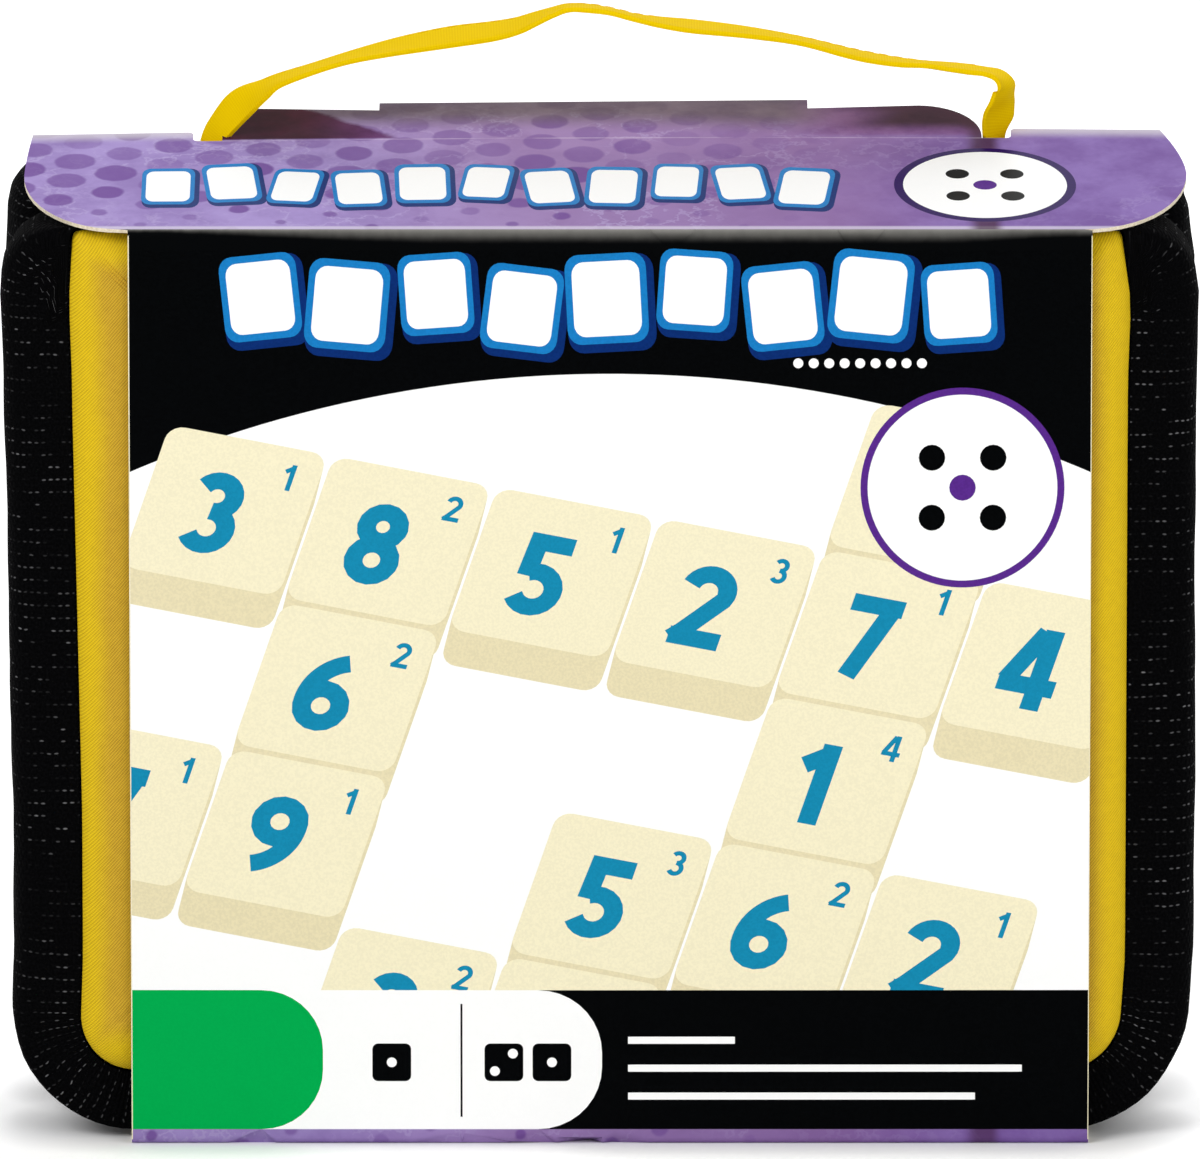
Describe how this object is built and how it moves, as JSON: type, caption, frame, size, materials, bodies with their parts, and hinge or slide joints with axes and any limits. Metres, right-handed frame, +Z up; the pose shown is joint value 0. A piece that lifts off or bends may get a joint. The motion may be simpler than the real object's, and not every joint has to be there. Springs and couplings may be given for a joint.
{
  "type": "travel word tile game case",
  "caption": "Upright zip-round padded fabric case with a carrying strap, in a two-piece printed card sleeve, holding a drawstring pouch of tiles and a leaflet.",
  "frame": {"origin": "underside of the sleeve's floor, midway across the case and midway between the sleeve's front and back", "axes": "+X to the viewer's right, +Y from the printed front to the back, +Z up"},
  "size_m": [0.178, 0.051, 0.1665],
  "materials": {
    "yellow_twill": "yellow polyester twill",
    "strap_ribbon": "yellow twill ribbon, folded and pressed",
    "black_webbing": "coarse black woven webbing",
    "lining": "thin grey polyester lining",
    "foam": "light closed-cell foam pad",
    "nylon_coil": "black nylon coil",
    "zip_metal": "black painted zinc",
    "front_print": "printed and varnished folding boxboard",
    "back_print": "printed and varnished folding boxboard",
    "pouch_cloth": "purple cotton pouch cloth",
    "string_cord": "off-white twisted cotton cord",
    "tile_plastic": "cream moulded plastic",
    "leaflet_paper": "folded uncoated paper"
  },
  "bodies": {
    "rear_half": {"rear_gusset": "black_webbing", "back_panel": "yellow_twill", "back_foam": "foam", "back_lining": "lining", "rear_seam_binding": "black_webbing", "rear_zip_tape": "black_webbing", "rear_zip_coil": "nylon_coil", "zip_top_stop": "zip_metal", "zip_bottom_stop": "zip_metal", "spine_strip": "black_webbing", "left_strap_tab": "strap_ribbon", "right_strap_tab": "strap_ribbon", "pouch": "pouch_cloth", "pouch_drawstring": "string_cord", "instruction_leaflet": "leaflet_paper", "tile_stack_01": "tile_plastic", "tile_stack_02": "tile_plastic", "tile_stack_03": "tile_plastic", "tile_stack_04": "tile_plastic", "tile_stack_05": "tile_plastic", "tile_stack_06": "tile_plastic", "tile_stack_07": "tile_plastic", "tile_stack_08": "tile_plastic", "tile_stack_09": "tile_plastic", "tile_stack_10": "tile_plastic", "tile_stack_11": "tile_plastic", "tile_stack_12": "tile_plastic", "tile_stack_13": "tile_plastic", "tile_stack_14": "tile_plastic", "tile_stack_15": "tile_plastic", "tile_stack_16": "tile_plastic", "tile_stack_17": "tile_plastic", "tile_stack_18": "tile_plastic", "tile_stack_19": "tile_plastic", "tile_stack_20": "tile_plastic"},
    "lid_half": {"front_gusset": "black_webbing", "front_panel": "yellow_twill", "front_foam": "foam", "front_lining": "lining", "front_seam_binding": "black_webbing", "front_zip_tape": "black_webbing", "front_zip_coil": "nylon_coil"},
    "front_sleeve_card": {"front_card": "front_print"},
    "back_sleeve_card": {"back_card": "back_print"},
    "strap": {"carry_strap": "strap_ribbon"},
    "upper_zip_slider": {"upper_slider": "zip_metal"},
    "lower_zip_slider": {"lower_slider": "zip_metal"},
    "upper_zip_pull": {"upper_pull": "zip_metal"},
    "lower_zip_pull": {"lower_pull": "zip_metal"}
  },
  "joints": [
    {"name": "lid_hinge", "type": "hinge", "parent": "rear_half", "child": "lid_half", "pos_m": [-0.0853, -0.0046, 0.07], "axis": [0, 0, -1], "range_deg": [0, 110]},
    {"name": "front_card_slide", "type": "slide", "parent": "rear_half", "child": "front_sleeve_card", "axis": [0, -1, 0], "range_m": [0, 0.37]},
    {"name": "back_card_slide", "type": "slide", "parent": "rear_half", "child": "back_sleeve_card", "axis": [0, 1, 0], "range_m": [0, 0.12]},
    {"name": "strap_swing", "type": "hinge", "parent": "rear_half", "child": "strap", "pos_m": [0, 0.013, 0.1455], "axis": [1, 0, 0], "range_deg": [-40, 25]},
    {"name": "upper_slider_travel", "type": "slide", "parent": "rear_half", "child": "upper_zip_slider", "axis": [0, 0, 1], "range_m": [0, 0.04]},
    {"name": "lower_slider_travel", "type": "slide", "parent": "rear_half", "child": "lower_zip_slider", "axis": [0, 0, -1], "range_m": [0, 0.04]},
    {"name": "upper_pull_swing", "type": "hinge", "parent": "upper_zip_slider", "child": "upper_zip_pull", "pos_m": [0.08675, -0.001, 0.07665], "axis": [0, 1, 0], "range_deg": [0, 100]},
    {"name": "lower_pull_swing", "type": "hinge", "parent": "lower_zip_slider", "child": "lower_zip_pull", "pos_m": [0.08675, -0.001, 0.06735], "axis": [0, -1, 0], "range_deg": [0, 100]}
  ],
  "couplings": [
    {"joint": "front_card_slide", "follows": "lid_hinge", "m_per_rad": 0.19}
  ]
}
